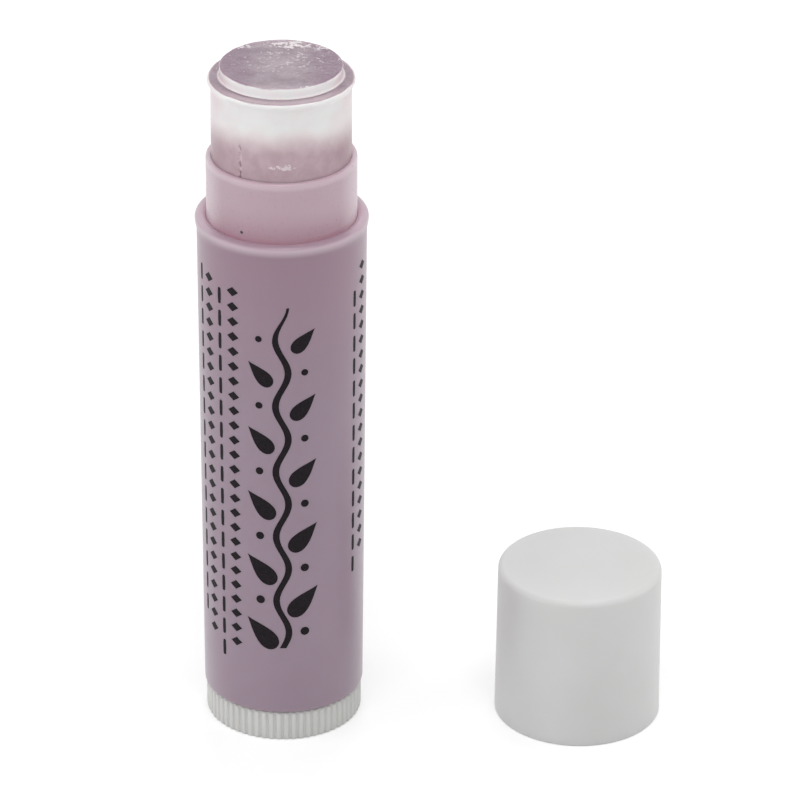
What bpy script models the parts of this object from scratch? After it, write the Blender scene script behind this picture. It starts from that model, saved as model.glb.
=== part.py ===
"""Twist-up stain remover stick: a gel stick in a two-walled barrel, a ribbed knob and a loose cap.

Lengths are in metres. The stick stands on its knob at the origin, its axis is +Z, and its front
looks towards -Y. The cap has been pulled off and stands mouth down beside it, towards +X.
"""

import math

import bmesh
import bpy
from mathutils import Matrix, Vector

MM = 0.001

# Clearances between pieces
SEAT_GAP = 0.3 * MM
RUNNING_FIT = 0.09 * MM
PRESS_FIT = 0.08 * MM
GEL_FIT = 0.13 * MM
SLOT_FIT = 0.15 * MM
RIB_FIT = 0.1 * MM

# Gel stick, wound out of the neck
GEL_RADIUS = 8.15 * MM
GEL_EXPOSED = 10.0 * MM
WOUND_OUT = 4.4 * MM
PLATEAU_HEIGHT = 1.3 * MM
PLATEAU_INSET = 1.0 * MM
FLANGE_PROUD = 0.38 * MM
FLANGE_DEPTH = 1.9 * MM
GEL_EDGE = 0.25 * MM
GEL_TIP_ROOM = 0.6 * MM

# Inner tube, whose top is the neck
TUBE_WALL = 0.56 * MM
NECK_LENGTH = 7.25 * MM
RIM_ROUNDING = 0.16 * MM
GUIDE_RIB_WIDTH = 0.4 * MM
GUIDE_RIB_HEIGHT = 0.3 * MM
GUIDE_RIB_BELOW_MOUTH = 0.4 * MM
GUIDE_RIBS = 3
GUIDE_RIB_ANGLE = math.radians(-125.0)

# Outer sleeve
SLEEVE_LENGTH = 62.3 * MM
SLEEVE_FLOOR = 1.3 * MM
SLEEVE_FOOT_WALL = 0.68 * MM
SLEEVE_TOP_WALL = 1.06 * MM
LIP_PROUD = 0.21 * MM
LIP_HEIGHT = 1.7 * MM
LIP_ROUNDING = 0.66 * MM
CREVICE_WIDTH = 0.28 * MM
CREVICE_DEPTH = 0.7 * MM
FOOT_CHAMFER = 0.2 * MM

# Twist knob
KNOB_HEIGHT = 3.75 * MM
KNOB_SETBACK = 0.2 * MM
KNOB_RIBS = 64
KNOB_RIB_DEPTH = 0.24 * MM
KNOB_CHAMFER = 0.3 * MM
KNOB_SOCKET_WALL = 0.8 * MM
KNOB_RIM_WIDTH = 2.2 * MM
KNOB_CORING_DEPTH = 0.8 * MM
KNOB_SOCKET_FLOOR = 1.0 * MM

# Spindle and its seal
SPINDLE_RADIUS = 2.9 * MM
SPINDLE_TIP_BELOW_MOUTH = 6.0 * MM
SPINDLE_TIP_CHAMFER = 0.8 * MM
COLLAR_WIDTH = 2.1 * MM
COLLAR_THICKNESS = 1.2 * MM
SHANK_ACROSS_FLATS = 5.4 * MM
SHANK_SHOULDER = 0.4 * MM
SEAL_WIDTH = 1.8 * MM
SEAL_THICKNESS = 0.6 * MM

# Carrier cup
CARRIER_HEIGHT = 7.0 * MM
CARRIER_FLOOR = 1.2 * MM
CARRIER_WALL = 0.7 * MM
CARRIER_LOWEST_GAP = 0.4 * MM
HUB_WALL = 1.6 * MM
HUB_HEIGHT = 6.0 * MM
FINS = 3
FIN_THICKNESS = 0.8 * MM
FIN_HEIGHT = 3.4 * MM

# Cap and its liner
CAP_HEIGHT = 19.45 * MM
CAP_WALL = 1.11 * MM
CAP_TOP_WALL = 1.2 * MM
CAP_DRAFT = 0.3 * MM
CAP_FIT = 0.1 * MM
CAP_EDGE = 0.8 * MM
CAP_MOUTH_CHAMFER = 0.25 * MM
CAP_BORE_PAST_NECK = 1.0 * MM
LINER_THICKNESS = 0.8 * MM
CAP_DISTANCE = 35.8 * MM
CAP_NEARER = 0.8 * MM

# Facets round each turned piece, and flats on the shank
WIDE_STEPS = 64
NARROW_STEPS = 40
ARC_STEPS = 4
SHANK_SIDES = 6
SHARP_ANGLE = math.radians(35.0)
SUNK = 0.4 * MM

# Radii that follow from the gel outwards
TUBE_BORE = GEL_RADIUS + GEL_FIT
TUBE_RADIUS = TUBE_BORE + TUBE_WALL
SLEEVE_BORE = TUBE_RADIUS + PRESS_FIT
SLEEVE_FOOT_RADIUS = SLEEVE_BORE + SLEEVE_FOOT_WALL
SLEEVE_TOP_RADIUS = SLEEVE_BORE + SLEEVE_TOP_WALL
KNOB_RADIUS = SLEEVE_FOOT_RADIUS - KNOB_SETBACK
CARRIER_RADIUS = TUBE_BORE - RUNNING_FIT
CARRIER_BORE = CARRIER_RADIUS - CARRIER_WALL
NUT_BORE = SPINDLE_RADIUS + RUNNING_FIT
HUB_RADIUS = NUT_BORE + HUB_WALL
GUIDE_RIB_TIP = TUBE_BORE - GUIDE_RIB_HEIGHT
SHANK_RADIUS = SHANK_ACROSS_FLATS / 2 / math.cos(math.pi / SHANK_SIDES)
SOCKET_RADIUS = SHANK_RADIUS + PRESS_FIT
JOURNAL_RADIUS = SHANK_RADIUS + SHANK_SHOULDER
BEARING_RADIUS = JOURNAL_RADIUS + RUNNING_FIT
CAP_BORE = TUBE_RADIUS + CAP_FIT
CAP_MOUTH_RADIUS = CAP_BORE + CAP_WALL
CAP_TOP_RADIUS = CAP_MOUTH_RADIUS - CAP_DRAFT

# Heights that follow from the knob upwards
SLEEVE_FOOT_Z = KNOB_HEIGHT + SEAT_GAP
FLOOR_TOP_Z = SLEEVE_FOOT_Z + SLEEVE_FLOOR
SLEEVE_TOP_Z = SLEEVE_FOOT_Z + SLEEVE_LENGTH
TUBE_FOOT_Z = FLOOR_TOP_Z + SEAT_GAP
MOUTH_Z = SLEEVE_TOP_Z + NECK_LENGTH
GUIDE_RIB_TOP_Z = MOUTH_Z - GUIDE_RIB_BELOW_MOUTH
SEAL_FOOT_Z = FLOOR_TOP_Z + SEAT_GAP
COLLAR_FOOT_Z = SEAL_FOOT_Z + SEAL_THICKNESS + SEAT_GAP
COLLAR_TOP_Z = COLLAR_FOOT_Z + COLLAR_THICKNESS
SPINDLE_TOP_Z = MOUTH_Z - SPINDLE_TIP_BELOW_MOUTH
CARRIER_FOOT_Z = COLLAR_TOP_Z + CARRIER_LOWEST_GAP + WOUND_OUT
CARRIER_FLOOR_Z = CARRIER_FOOT_Z + CARRIER_FLOOR
CARRIER_TOP_Z = CARRIER_FOOT_Z + CARRIER_HEIGHT
HUB_TOP_Z = CARRIER_FOOT_Z + HUB_HEIGHT
FIN_TOP_Z = CARRIER_FLOOR_Z + FIN_HEIGHT
LEDGE_Z = MOUTH_Z + GEL_EXPOSED
PLATEAU_Z = LEDGE_Z + PLATEAU_HEIGHT


def arc(centre, radius, start, end):
    """Points of a round corner of a section, from one angle in degrees to another."""
    angles = [math.radians(start + (end - start) * step / ARC_STEPS) for step in range(ARC_STEPS + 1)]
    return [(centre[0] + radius * math.cos(a), centre[1] + radius * math.sin(a)) for a in angles]


def turned(section, steps):
    """Spin a section of (radius, height) points round Z. It is open only where it meets the axis."""
    mesh = bmesh.new()
    corners = [mesh.verts.new((radius, 0.0, height)) for radius, height in section]
    edges = [mesh.edges.new(pair) for pair in zip(corners, corners[1:])]
    if section[0][0] > 0.0:
        edges.append(mesh.edges.new((corners[-1], corners[0])))
    bmesh.ops.spin(
        mesh,
        geom=corners + edges,
        cent=(0.0, 0.0, 0.0),
        axis=(0.0, 0.0, 1.0),
        angle=math.tau,
        steps=steps,
        use_merge=True,
    )
    bmesh.ops.remove_doubles(mesh, verts=mesh.verts, dist=0.0001 * MM)
    bmesh.ops.recalc_face_normals(mesh, faces=mesh.faces)
    return mesh


def radial_bars(count, first_angle, inner, outer, width, low, high):
    """Upright bars set evenly round the axis, each running out from one radius to another."""
    mesh = bmesh.new()
    size = Matrix.Diagonal((outer - inner, width, high - low, 1.0))
    middle = Matrix.Translation(((inner + outer) / 2, 0.0, (low + high) / 2))
    for index in range(count):
        turn = Matrix.Rotation(first_angle + math.tau * index / count, 4, "Z")
        bmesh.ops.create_cube(mesh, size=1.0, matrix=turn @ middle @ size)
    return mesh


def shank_prism(radius, low, high):
    """The shank's upright prism, one of whose corners is on the Y axis."""
    mesh = bmesh.new()
    bmesh.ops.create_cone(
        mesh,
        cap_ends=True,
        segments=SHANK_SIDES,
        radius1=radius,
        radius2=radius,
        depth=high - low,
        matrix=Matrix.Translation((0.0, 0.0, (low + high) / 2)),
    )
    return mesh


def material(name, colour, roughness, transmission=0.0):
    """A plain moulded or cast finish."""
    finish = bpy.data.materials.new(name)
    finish.use_nodes = True
    shader = finish.node_tree.nodes["Principled BSDF"]
    shader.inputs["Base Color"].default_value = (*colour, 1.0)
    shader.inputs["Roughness"].default_value = roughness
    shader.inputs["Metallic"].default_value = 0.0
    shader.inputs["Transmission Weight"].default_value = transmission
    return finish


def piece(name, mesh, finish, parent=None):
    """Turn a finished bmesh into a named object, smooth on its round faces."""
    data = bpy.data.meshes.new(name)
    mesh.to_mesh(data)
    mesh.free()
    data.materials.append(finish)
    data.shade_smooth()
    data.set_sharp_from_angle(angle=SHARP_ANGLE)
    thing = bpy.data.objects.new(name, data)
    thing.parent = parent
    bpy.context.scene.collection.objects.link(thing)
    return thing


def shape_with(thing, operation, name, mesh):
    """Join a second shape to a piece, or cut it away. The shape itself stays as a hidden guide."""
    data = bpy.data.meshes.new(name)
    mesh.to_mesh(data)
    mesh.free()
    guide = bpy.data.objects.new(name, data)
    guide.parent = thing.parent
    guide.hide_render = True
    guide.display_type = "WIRE"
    bpy.context.scene.collection.objects.link(guide)
    modifier = thing.modifiers.new(name, "BOOLEAN")
    modifier.operation = operation
    modifier.solver = "EXACT"
    modifier.object = guide


def axis_empty(name, place):
    """An empty on the axis that a group of pieces moves about or along."""
    empty = bpy.data.objects.new(name, None)
    empty.location = place
    empty.empty_display_size = SLEEVE_FOOT_RADIUS
    bpy.context.scene.collection.objects.link(empty)
    return empty


def clear_scene():
    for thing in list(bpy.data.objects):
        bpy.data.objects.remove(thing)


def build_outer_sleeve():
    """The tapered barrel: a floor with a bearing hole, and a rolled lip that stands off the neck."""
    crest = SLEEVE_TOP_Z - LIP_ROUNDING
    lip_radius = SLEEVE_TOP_RADIUS + LIP_PROUD
    crevice_radius = TUBE_RADIUS + CREVICE_WIDTH
    section = [
        (BEARING_RADIUS, SLEEVE_FOOT_Z),
        (SLEEVE_FOOT_RADIUS - FOOT_CHAMFER, SLEEVE_FOOT_Z),
        (SLEEVE_FOOT_RADIUS, SLEEVE_FOOT_Z + FOOT_CHAMFER),
        (SLEEVE_TOP_RADIUS, SLEEVE_TOP_Z - LIP_HEIGHT),
    ]
    section += arc((lip_radius - LIP_ROUNDING, crest), LIP_ROUNDING, -20.0, 90.0)
    inner_rounding = min(LIP_ROUNDING, (lip_radius - LIP_ROUNDING - crevice_radius) * 0.9)
    section += arc((crevice_radius + inner_rounding, SLEEVE_TOP_Z - inner_rounding), inner_rounding, 90.0, 180.0)
    section += [
        (crevice_radius, SLEEVE_TOP_Z - CREVICE_DEPTH),
        (SLEEVE_BORE, SLEEVE_TOP_Z - CREVICE_DEPTH - CREVICE_WIDTH),
        (SLEEVE_BORE, FLOOR_TOP_Z),
        (BEARING_RADIUS, FLOOR_TOP_Z),
    ]
    finish = material("sleeve_pink", (0.46, 0.31, 0.38), 0.35)
    return piece("outer_sleeve", turned(section, WIDE_STEPS), finish)


def build_inner_tube():
    """The thin tube that guides the gel. Its top is the neck, and three ribs run up its bore."""
    section = [(TUBE_BORE, TUBE_FOOT_Z), (TUBE_RADIUS, TUBE_FOOT_Z)]
    section += arc((TUBE_RADIUS - RIM_ROUNDING, MOUTH_Z - RIM_ROUNDING), RIM_ROUNDING, 0.0, 90.0)
    section += arc((TUBE_BORE + RIM_ROUNDING, MOUTH_Z - RIM_ROUNDING), RIM_ROUNDING, 90.0, 180.0)
    finish = material("tube_pink", (0.52, 0.36, 0.43), 0.3)
    tube = piece("inner_tube", turned(section, WIDE_STEPS), finish)
    ribs = radial_bars(
        GUIDE_RIBS,
        GUIDE_RIB_ANGLE,
        GUIDE_RIB_TIP,
        TUBE_BORE + TUBE_WALL / 2,
        GUIDE_RIB_WIDTH,
        TUBE_FOOT_Z + SUNK,
        GUIDE_RIB_TOP_Z,
    )
    shape_with(tube, "UNION", "guide_ribs", ribs)
    return tube


def build_gel_stick(carriage):
    """The cast gel: a stepped, flanged head, grooves for the tube's ribs, and a foot cast into the cup."""
    foot = CARRIER_FLOOR_Z + SEAT_GAP
    shoulder = CARRIER_TOP_Z + SEAT_GAP
    foot_radius = CARRIER_BORE - GEL_FIT
    hub_bore = HUB_RADIUS + GEL_FIT
    hub_room = HUB_TOP_Z + SEAT_GAP
    spindle_bore = SPINDLE_RADIUS + GEL_FIT + RUNNING_FIT
    bore_end = SPINDLE_TOP_Z + WOUND_OUT + SEAT_GAP
    flange_radius = GEL_RADIUS + FLANGE_PROUD
    plateau_radius = GEL_RADIUS - PLATEAU_INSET
    section = [
        (0.0, bore_end + GEL_TIP_ROOM),
        (spindle_bore, bore_end),
        (spindle_bore, hub_room),
        (hub_bore, hub_room),
        (hub_bore, foot),
        (foot_radius, foot),
        (foot_radius, shoulder),
        (GEL_RADIUS, shoulder),
        (GEL_RADIUS, LEDGE_Z - FLANGE_DEPTH),
        (GEL_RADIUS + FLANGE_PROUD * 0.35, LEDGE_Z - FLANGE_DEPTH * 0.66),
    ]
    section += arc((flange_radius - GEL_EDGE, LEDGE_Z - GEL_EDGE), GEL_EDGE, -30.0, 90.0)
    section += [(plateau_radius, LEDGE_Z)]
    section += arc((plateau_radius - GEL_EDGE, PLATEAU_Z - GEL_EDGE), GEL_EDGE, 0.0, 90.0)
    section += [(0.0, PLATEAU_Z)]
    finish = material("gel", (0.50, 0.38, 0.42), 0.15, 0.25)
    gel = piece("gel_stick", turned(section, WIDE_STEPS), finish, carriage)
    grooves = radial_bars(
        GUIDE_RIBS,
        GUIDE_RIB_ANGLE,
        GUIDE_RIB_TIP - RIB_FIT,
        GEL_RADIUS + SUNK,
        GUIDE_RIB_WIDTH + 2 * RIB_FIT,
        shoulder - SUNK,
        GUIDE_RIB_TOP_Z + WOUND_OUT + RIB_FIT,
    )
    shape_with(gel, "DIFFERENCE", "rib_grooves", grooves)
    slots = radial_bars(
        FINS,
        GUIDE_RIB_ANGLE + math.pi / FINS,
        HUB_RADIUS,
        CARRIER_BORE + SUNK,
        FIN_THICKNESS + 2 * SLOT_FIT,
        foot - SUNK,
        FIN_TOP_Z + SEAT_GAP,
    )
    shape_with(gel, "DIFFERENCE", "fin_slots", slots)
    return gel


def build_carrier_cup(carriage):
    """The elevator: a cup round the gel's foot, with a nut hub, keying fins and notches for the ribs."""
    section = [
        (NUT_BORE, CARRIER_FOOT_Z),
        (CARRIER_RADIUS, CARRIER_FOOT_Z),
        (CARRIER_RADIUS, CARRIER_TOP_Z),
        (CARRIER_BORE, CARRIER_TOP_Z),
        (CARRIER_BORE, CARRIER_FLOOR_Z),
        (HUB_RADIUS, CARRIER_FLOOR_Z),
        (HUB_RADIUS, HUB_TOP_Z),
        (NUT_BORE, HUB_TOP_Z),
    ]
    finish = material("carrier_white", (0.78, 0.78, 0.76), 0.4)
    carrier = piece("carrier_cup", turned(section, WIDE_STEPS), finish, carriage)
    fins = radial_bars(
        FINS,
        GUIDE_RIB_ANGLE + math.pi / FINS,
        HUB_RADIUS - HUB_WALL / 2,
        CARRIER_BORE + CARRIER_WALL / 2,
        FIN_THICKNESS,
        CARRIER_FLOOR_Z - CARRIER_FLOOR / 2,
        FIN_TOP_Z,
    )
    shape_with(carrier, "UNION", "keying_fins", fins)
    notches = radial_bars(
        GUIDE_RIBS,
        GUIDE_RIB_ANGLE,
        GUIDE_RIB_TIP - RIB_FIT,
        CARRIER_RADIUS + SUNK,
        GUIDE_RIB_WIDTH + 2 * RIB_FIT,
        CARRIER_FOOT_Z - SUNK,
        CARRIER_TOP_Z + SUNK,
    )
    shape_with(carrier, "DIFFERENCE", "rib_notches", notches)
    return carrier


def build_spindle(knob_axis):
    """The lead screw's rod, its collar on the seal, the journal in the floor and the knob's shank."""
    journal_foot = SLEEVE_FOOT_Z - SEAT_GAP / 2
    section = [
        (0.0, journal_foot),
        (JOURNAL_RADIUS, journal_foot),
        (JOURNAL_RADIUS, COLLAR_FOOT_Z),
        (JOURNAL_RADIUS + COLLAR_WIDTH, COLLAR_FOOT_Z),
        (JOURNAL_RADIUS + COLLAR_WIDTH, COLLAR_TOP_Z),
        (SPINDLE_RADIUS, COLLAR_TOP_Z),
        (SPINDLE_RADIUS, SPINDLE_TOP_Z - SPINDLE_TIP_CHAMFER),
        (SPINDLE_RADIUS - SPINDLE_TIP_CHAMFER, SPINDLE_TOP_Z),
        (0.0, SPINDLE_TOP_Z),
    ]
    finish = material("spindle_white", (0.76, 0.76, 0.74), 0.35)
    spindle = piece("spindle", turned(section, NARROW_STEPS), finish, knob_axis)
    shank = shank_prism(SHANK_RADIUS, KNOB_SOCKET_FLOOR + SEAT_GAP, journal_foot + SUNK)
    shape_with(spindle, "UNION", "shank", shank)
    return spindle


def build_seal_ring():
    """The soft washer that the collar presses on the sleeve's floor."""
    rim = BEARING_RADIUS + SEAL_WIDTH
    seal_top = SEAL_FOOT_Z + SEAL_THICKNESS
    section = [(BEARING_RADIUS, SEAL_FOOT_Z), (rim, SEAL_FOOT_Z), (rim, seal_top), (BEARING_RADIUS, seal_top)]
    finish = material("seal_grey", (0.25, 0.25, 0.26), 0.7)
    return piece("seal_ring", turned(section, NARROW_STEPS), finish)


def ribbed_loop(mesh, radius, depth, height):
    """One level of the knob's side: two points on each rib's crest and two in the valley beside it."""
    quarters = ((-0.30, radius), (0.02, radius), (0.28, radius - depth), (0.42, radius - depth))
    loop = []
    for rib in range(KNOB_RIBS):
        for shift, reach in quarters:
            angle = math.tau * (rib + shift) / KNOB_RIBS
            loop.append(mesh.verts.new((reach * math.cos(angle), reach * math.sin(angle), height)))
    return loop


def round_loop(mesh, radius, height, steps, phase=0.0):
    """A plain ring of points round the axis."""
    turns = [phase + math.tau * step / steps for step in range(steps)]
    return [mesh.verts.new((radius * math.cos(a), radius * math.sin(a), height)) for a in turns]


def ring_edges(mesh, loop):
    """The edges round a loop of points, made where they are missing."""
    pairs = zip(loop, loop[1:] + loop[:1])
    return [mesh.edges.get(pair) or mesh.edges.new(pair) for pair in pairs]


def walls(mesh, loops):
    """Join each loop of points to the next with a band of faces."""
    for lower, upper in zip(loops, loops[1:]):
        count = len(lower)
        for index in range(count):
            after = (index + 1) % count
            mesh.faces.new((lower[index], lower[after], upper[after], upper[index]))


def flat_ring(mesh, outer, inner):
    """Fill the flat face between two loops that may have unlike numbers of points."""
    edges = ring_edges(mesh, outer) + ring_edges(mesh, inner)
    bmesh.ops.triangle_fill(mesh, edges=edges, use_beauty=True, use_dissolve=False)


def build_twist_knob(knob_axis):
    """The ribbed knob: upright ribs all round, a cored underside and a hexagonal socket on top."""
    mesh = bmesh.new()
    narrow = KNOB_RADIUS - KNOB_CHAMFER
    depth = KNOB_RIB_DEPTH
    sides = [
        ribbed_loop(mesh, narrow, depth / 2, 0.0),
        ribbed_loop(mesh, KNOB_RADIUS, depth, KNOB_CHAMFER),
        ribbed_loop(mesh, KNOB_RADIUS, depth, KNOB_HEIGHT - KNOB_CHAMFER),
        ribbed_loop(mesh, narrow, depth / 2, KNOB_HEIGHT),
    ]
    walls(mesh, sides)
    rim = KNOB_RADIUS - KNOB_RIM_WIDTH
    boss = SOCKET_RADIUS + KNOB_SOCKET_WALL
    coring = [
        round_loop(mesh, rim, 0.0, NARROW_STEPS),
        round_loop(mesh, rim - KNOB_CHAMFER, KNOB_CORING_DEPTH, NARROW_STEPS),
        round_loop(mesh, boss, KNOB_CORING_DEPTH, NARROW_STEPS),
        round_loop(mesh, boss - KNOB_CHAMFER, 0.0, NARROW_STEPS),
    ]
    walls(mesh, coring)
    mesh.faces.new(coring[-1])
    flat_ring(mesh, sides[0], coring[0])
    socket = [
        round_loop(mesh, SOCKET_RADIUS, KNOB_HEIGHT, SHANK_SIDES, math.pi / 2),
        round_loop(mesh, SOCKET_RADIUS, KNOB_SOCKET_FLOOR, SHANK_SIDES, math.pi / 2),
    ]
    walls(mesh, socket)
    mesh.faces.new(socket[-1])
    flat_ring(mesh, sides[-1], socket[0])
    bmesh.ops.recalc_face_normals(mesh, faces=mesh.faces)
    finish = material("knob_white", (0.74, 0.74, 0.72), 0.4)
    return piece("twist_knob", mesh, finish, knob_axis)


def build_cap_shell(cap_axis):
    """The cap, mouth down: a straight bore that slides over the neck, then a drafted one above it."""
    straight = NECK_LENGTH + CAP_BORE_PAST_NECK
    ceiling = CAP_HEIGHT - CAP_TOP_WALL
    top_bore = CAP_BORE - CAP_DRAFT
    section = [
        (CAP_BORE + CAP_MOUTH_CHAMFER, 0.0),
        (CAP_MOUTH_RADIUS - CAP_MOUTH_CHAMFER, 0.0),
        (CAP_MOUTH_RADIUS, CAP_MOUTH_CHAMFER),
    ]
    section += arc((CAP_TOP_RADIUS - CAP_EDGE, CAP_HEIGHT - CAP_EDGE), CAP_EDGE, 0.0, 90.0)
    section += [
        (0.0, CAP_HEIGHT),
        (0.0, ceiling),
        (top_bore, ceiling),
        (top_bore, straight + CAP_DRAFT),
        (CAP_BORE, straight),
        (CAP_BORE, CAP_MOUTH_CHAMFER),
    ]
    finish = material("cap_white", (0.74, 0.74, 0.73), 0.4)
    return piece("cap_shell", turned_shell(section), finish, cap_axis)


def turned_shell(section):
    """Spin a closed section that touches the axis on both faces of a top wall."""
    axis_points = [index for index, point in enumerate(section) if point[0] == 0.0]
    start = axis_points[1]
    return turned(section[start:] + section[: axis_points[0] + 1], WIDE_STEPS)


def build_cap_liner(cap_axis):
    """The soft disc in the top of the cap."""
    radius = CAP_BORE - CAP_DRAFT - PRESS_FIT
    top = CAP_HEIGHT - CAP_TOP_WALL - SEAT_GAP
    section = [(0.0, top - LINER_THICKNESS), (radius, top - LINER_THICKNESS), (radius, top), (0.0, top)]
    finish = material("liner_white", (0.70, 0.70, 0.68), 0.8)
    return piece("cap_liner", turned(section, NARROW_STEPS), finish, cap_axis)


def build():
    clear_scene()
    knob_axis = axis_empty("knob_axis", Vector((0.0, 0.0, 0.0)))
    carriage = axis_empty("carriage_axis", Vector((0.0, 0.0, 0.0)))
    cap_axis = axis_empty("cap_axis", Vector((CAP_DISTANCE, -CAP_NEARER, 0.0)))
    build_outer_sleeve()
    build_inner_tube()
    build_seal_ring()
    build_twist_knob(knob_axis)
    build_spindle(knob_axis)
    build_carrier_cup(carriage)
    build_gel_stick(carriage)
    build_cap_shell(cap_axis)
    build_cap_liner(cap_axis)


build()
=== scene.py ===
# The finished look of a twist-up stain remover stick: its barrel, neck, gel, knob and drive, and the cap
# that stands beside it. Sizes are in millimetres, and each finished mesh is scaled to metres at the end.
# The stick stands on its knob at the origin with its front towards -Y.

import math

import bmesh
import bpy
from mathutils import Matrix, Vector, noise


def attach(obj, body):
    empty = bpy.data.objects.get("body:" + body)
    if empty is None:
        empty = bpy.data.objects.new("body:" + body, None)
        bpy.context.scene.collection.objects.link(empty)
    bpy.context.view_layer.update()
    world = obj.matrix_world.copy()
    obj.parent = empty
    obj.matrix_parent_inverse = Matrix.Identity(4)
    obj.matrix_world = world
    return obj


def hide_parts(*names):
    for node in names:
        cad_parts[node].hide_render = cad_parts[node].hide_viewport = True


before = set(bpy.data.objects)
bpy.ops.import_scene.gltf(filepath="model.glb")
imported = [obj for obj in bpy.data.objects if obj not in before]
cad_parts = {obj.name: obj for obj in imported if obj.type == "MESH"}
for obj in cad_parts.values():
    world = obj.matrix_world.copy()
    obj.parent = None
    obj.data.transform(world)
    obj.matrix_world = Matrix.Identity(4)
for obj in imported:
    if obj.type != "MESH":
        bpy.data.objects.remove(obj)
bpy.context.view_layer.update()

MM = 0.001

# Barrel
BEARING_RADIUS = 3.61
BARREL_FOOT_Z = 4.05
BARREL_FLOOR_Z = 5.35
BARREL_TOP_Z = 66.35
BARREL_BORE = 8.85
BARREL_FOOT_RADIUS = 9.6
BARREL_TOP_RADIUS = 9.98
LIP_RADIUS = 10.19
LIP_FOOT_Z = 64.65
LIP_ROUNDING = 0.66
LIP_INNER_ROUNDING = 0.6

# Inner tube and its neck
TUBE_BORE = 8.23
TUBE_RADIUS = 8.84
TUBE_FOOT_Z = 5.65
MOUTH_Z = 73.7
RIM_OUTER_ROUNDING = 0.28
RIM_INNER_ROUNDING = 0.06
RIB_ANGLES = [math.radians(-125.0 + 120.0 * rib) for rib in range(3)]
RIB_WIDTH = 0.4
RIB_TIP_RADIUS = 7.98
RIB_TOP_Z = 73.2
RIB_EDGE = 0.09

# Gel
GEL_RADIUS = 8.2
GEL_FOOT_Z = 14.05
GEL_FOOT_RADIUS = 7.36
GEL_SHOULDER_Z = 19.85
GEL_BORE_RADIUS = 3.12
GEL_BORE_END_Z = 72.3
HUB_ROOM_RADIUS = 4.72
HUB_ROOM_Z = 18.85
LEDGE_Z = 83.5
PLATEAU_Z = 84.84
PLATEAU_RADIUS = 7.17
PLATEAU_BACK = 0.42
FLANGE_RADIUS = 8.6
FLANGE_FOOT_Z = 82.6
GEL_HIGHEST = 84.89
CURL_PLACE = (1.0, 5.9)
CURL_HEIGHT = 0.1
GROOVE_END_Z = 77.7
GROOVE_HALF_WIDTH = 0.3
GROOVE_DEPTH = 0.17

# The gel's unevenness: how high, how wide its humps are, and a seed
TOP_RIPPLES = [(0.045, 3.4, 1.0), (0.03, 1.1, 2.0)]
TOP_SETTLED = 0.02
LEDGE_RIPPLE = (0.03, 1.8, 7.0)
GROOVE_RIPPLE = (0.75, 0.55, 3.0)
CURL_RIPPLE = (1.0, 0.5, 4.0)

# Ripples round the gel's side: how high on the side and how much higher on the head, width and seed
SIDE_RIPPLES = [(0.01, 0.05, 2.6, 5.0), (0.002, 0.02, 0.7, 6.0)]

# Painted glints, as pale flecks on the gel's rough top and side: centre, how each direction counts, reach,
# grain size, thickness and strength
PAINTED_GLINT_PATCHES = [
    ((0.9, 6.0, PLATEAU_Z), (0.42, 1.0, 1.0), 1.9, 0.5, 0.3, 0.75),
    ((0.6, 1.6, PLATEAU_Z), (0.5, 0.7, 1.0), 5.0, 0.5, 0.17, 0.4),
    ((4.7, 5.3, PLATEAU_Z), (0.5, 1.0, 1.0), 1.9, 0.36, 0.26, 0.6),
    ((3.2, -6.3, PLATEAU_Z), (0.55, 1.5, 0.8), 0.9, 0.45, 0.3, 0.7),
    ((-4.6, 5.5, PLATEAU_Z), (0.6, 1.2, 1.0), 1.5, 0.4, 0.3, 0.6),
    ((0.3, -8.2, 75.6), (0.42, 1.0, 1.6), 1.25, 0.4, 0.3, 0.6),
]

# A dark grain in the neck's plastic
GRAIN_PLACE = (-4.58, -7.56, 67.15)

# Knob
KNOB_HEIGHT = 3.75
KNOB_RADIUS = 9.4
KNOB_RIBS = 64
KNOB_RIB_DEPTH = 0.24
KNOB_RIM_RADIUS = 7.2
KNOB_RIM_SLOPE = 0.3
KNOB_BOSS_RADIUS = 4.0
KNOB_CORING = 0.8
SOCKET_RADIUS = 3.2
SOCKET_FLOOR_Z = 1.0
SOCKET_LEAD_IN = 0.08

# The knob's rounded edges: how far in from its side, how far from its flat face, and how deeply ribbed
KNOB_FOOT_EDGE = [(0.42, 0.0, 0.0), (0.2, 0.05, 0.35), (0.06, 0.18, 0.8), (0.0, 0.38, 1.0)]
KNOB_TOP_EDGE = [(0.0, 0.36, 1.0), (0.06, 0.16, 0.8), (0.2, 0.04, 0.35), (0.4, 0.0, 0.0)]

# Print. Each column: how far round from the front, mark width, height, spacing, sides, lowest, highest
PRINT_RADIUS = 9.8
PRINT_LOW = 12.0
PRINT_HIGH = 60.5
LEAF_SPACING = 4.35
LEAF_SIZE = (2.7, 5.3)
LEAF_OUT = 2.6
LEAF_LEAN = 0.75
LEAF_SHRINK = 0.03
LEAF_SIDES = 28
BUD_SIZE = 1.1
BUD_OUT = 2.7
STEM_WIDTH = 0.8
STEM_SWAY = 0.75
STEM_TAPER = 6.0
PRINT_STRIP = 0.5
PRINT_STRIPS = 26
PRINT_STRIP_SHIFT = 0.013
INK_PROUD = 0.018
INK_SUNK = 0.02
PRINT_COLUMNS = [
    (-6.0, 1.6, 1.2, 1.95, 4, 13.0, 62.2),
    (-8.0, 0.5, 2.1, 2.95, 12, 11.5, 62.4),
    (-10.0, 1.6, 1.2, 1.95, 4, 13.5, 63.6),
    (-11.9, 0.5, 2.1, 2.95, 12, 16.0, 63.4),
    (10.1, 0.5, 2.1, 2.95, 12, 22.0, 62.6),
    (12.0, 1.6, 1.2, 1.95, 4, 24.0, 63.4),
]

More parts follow.
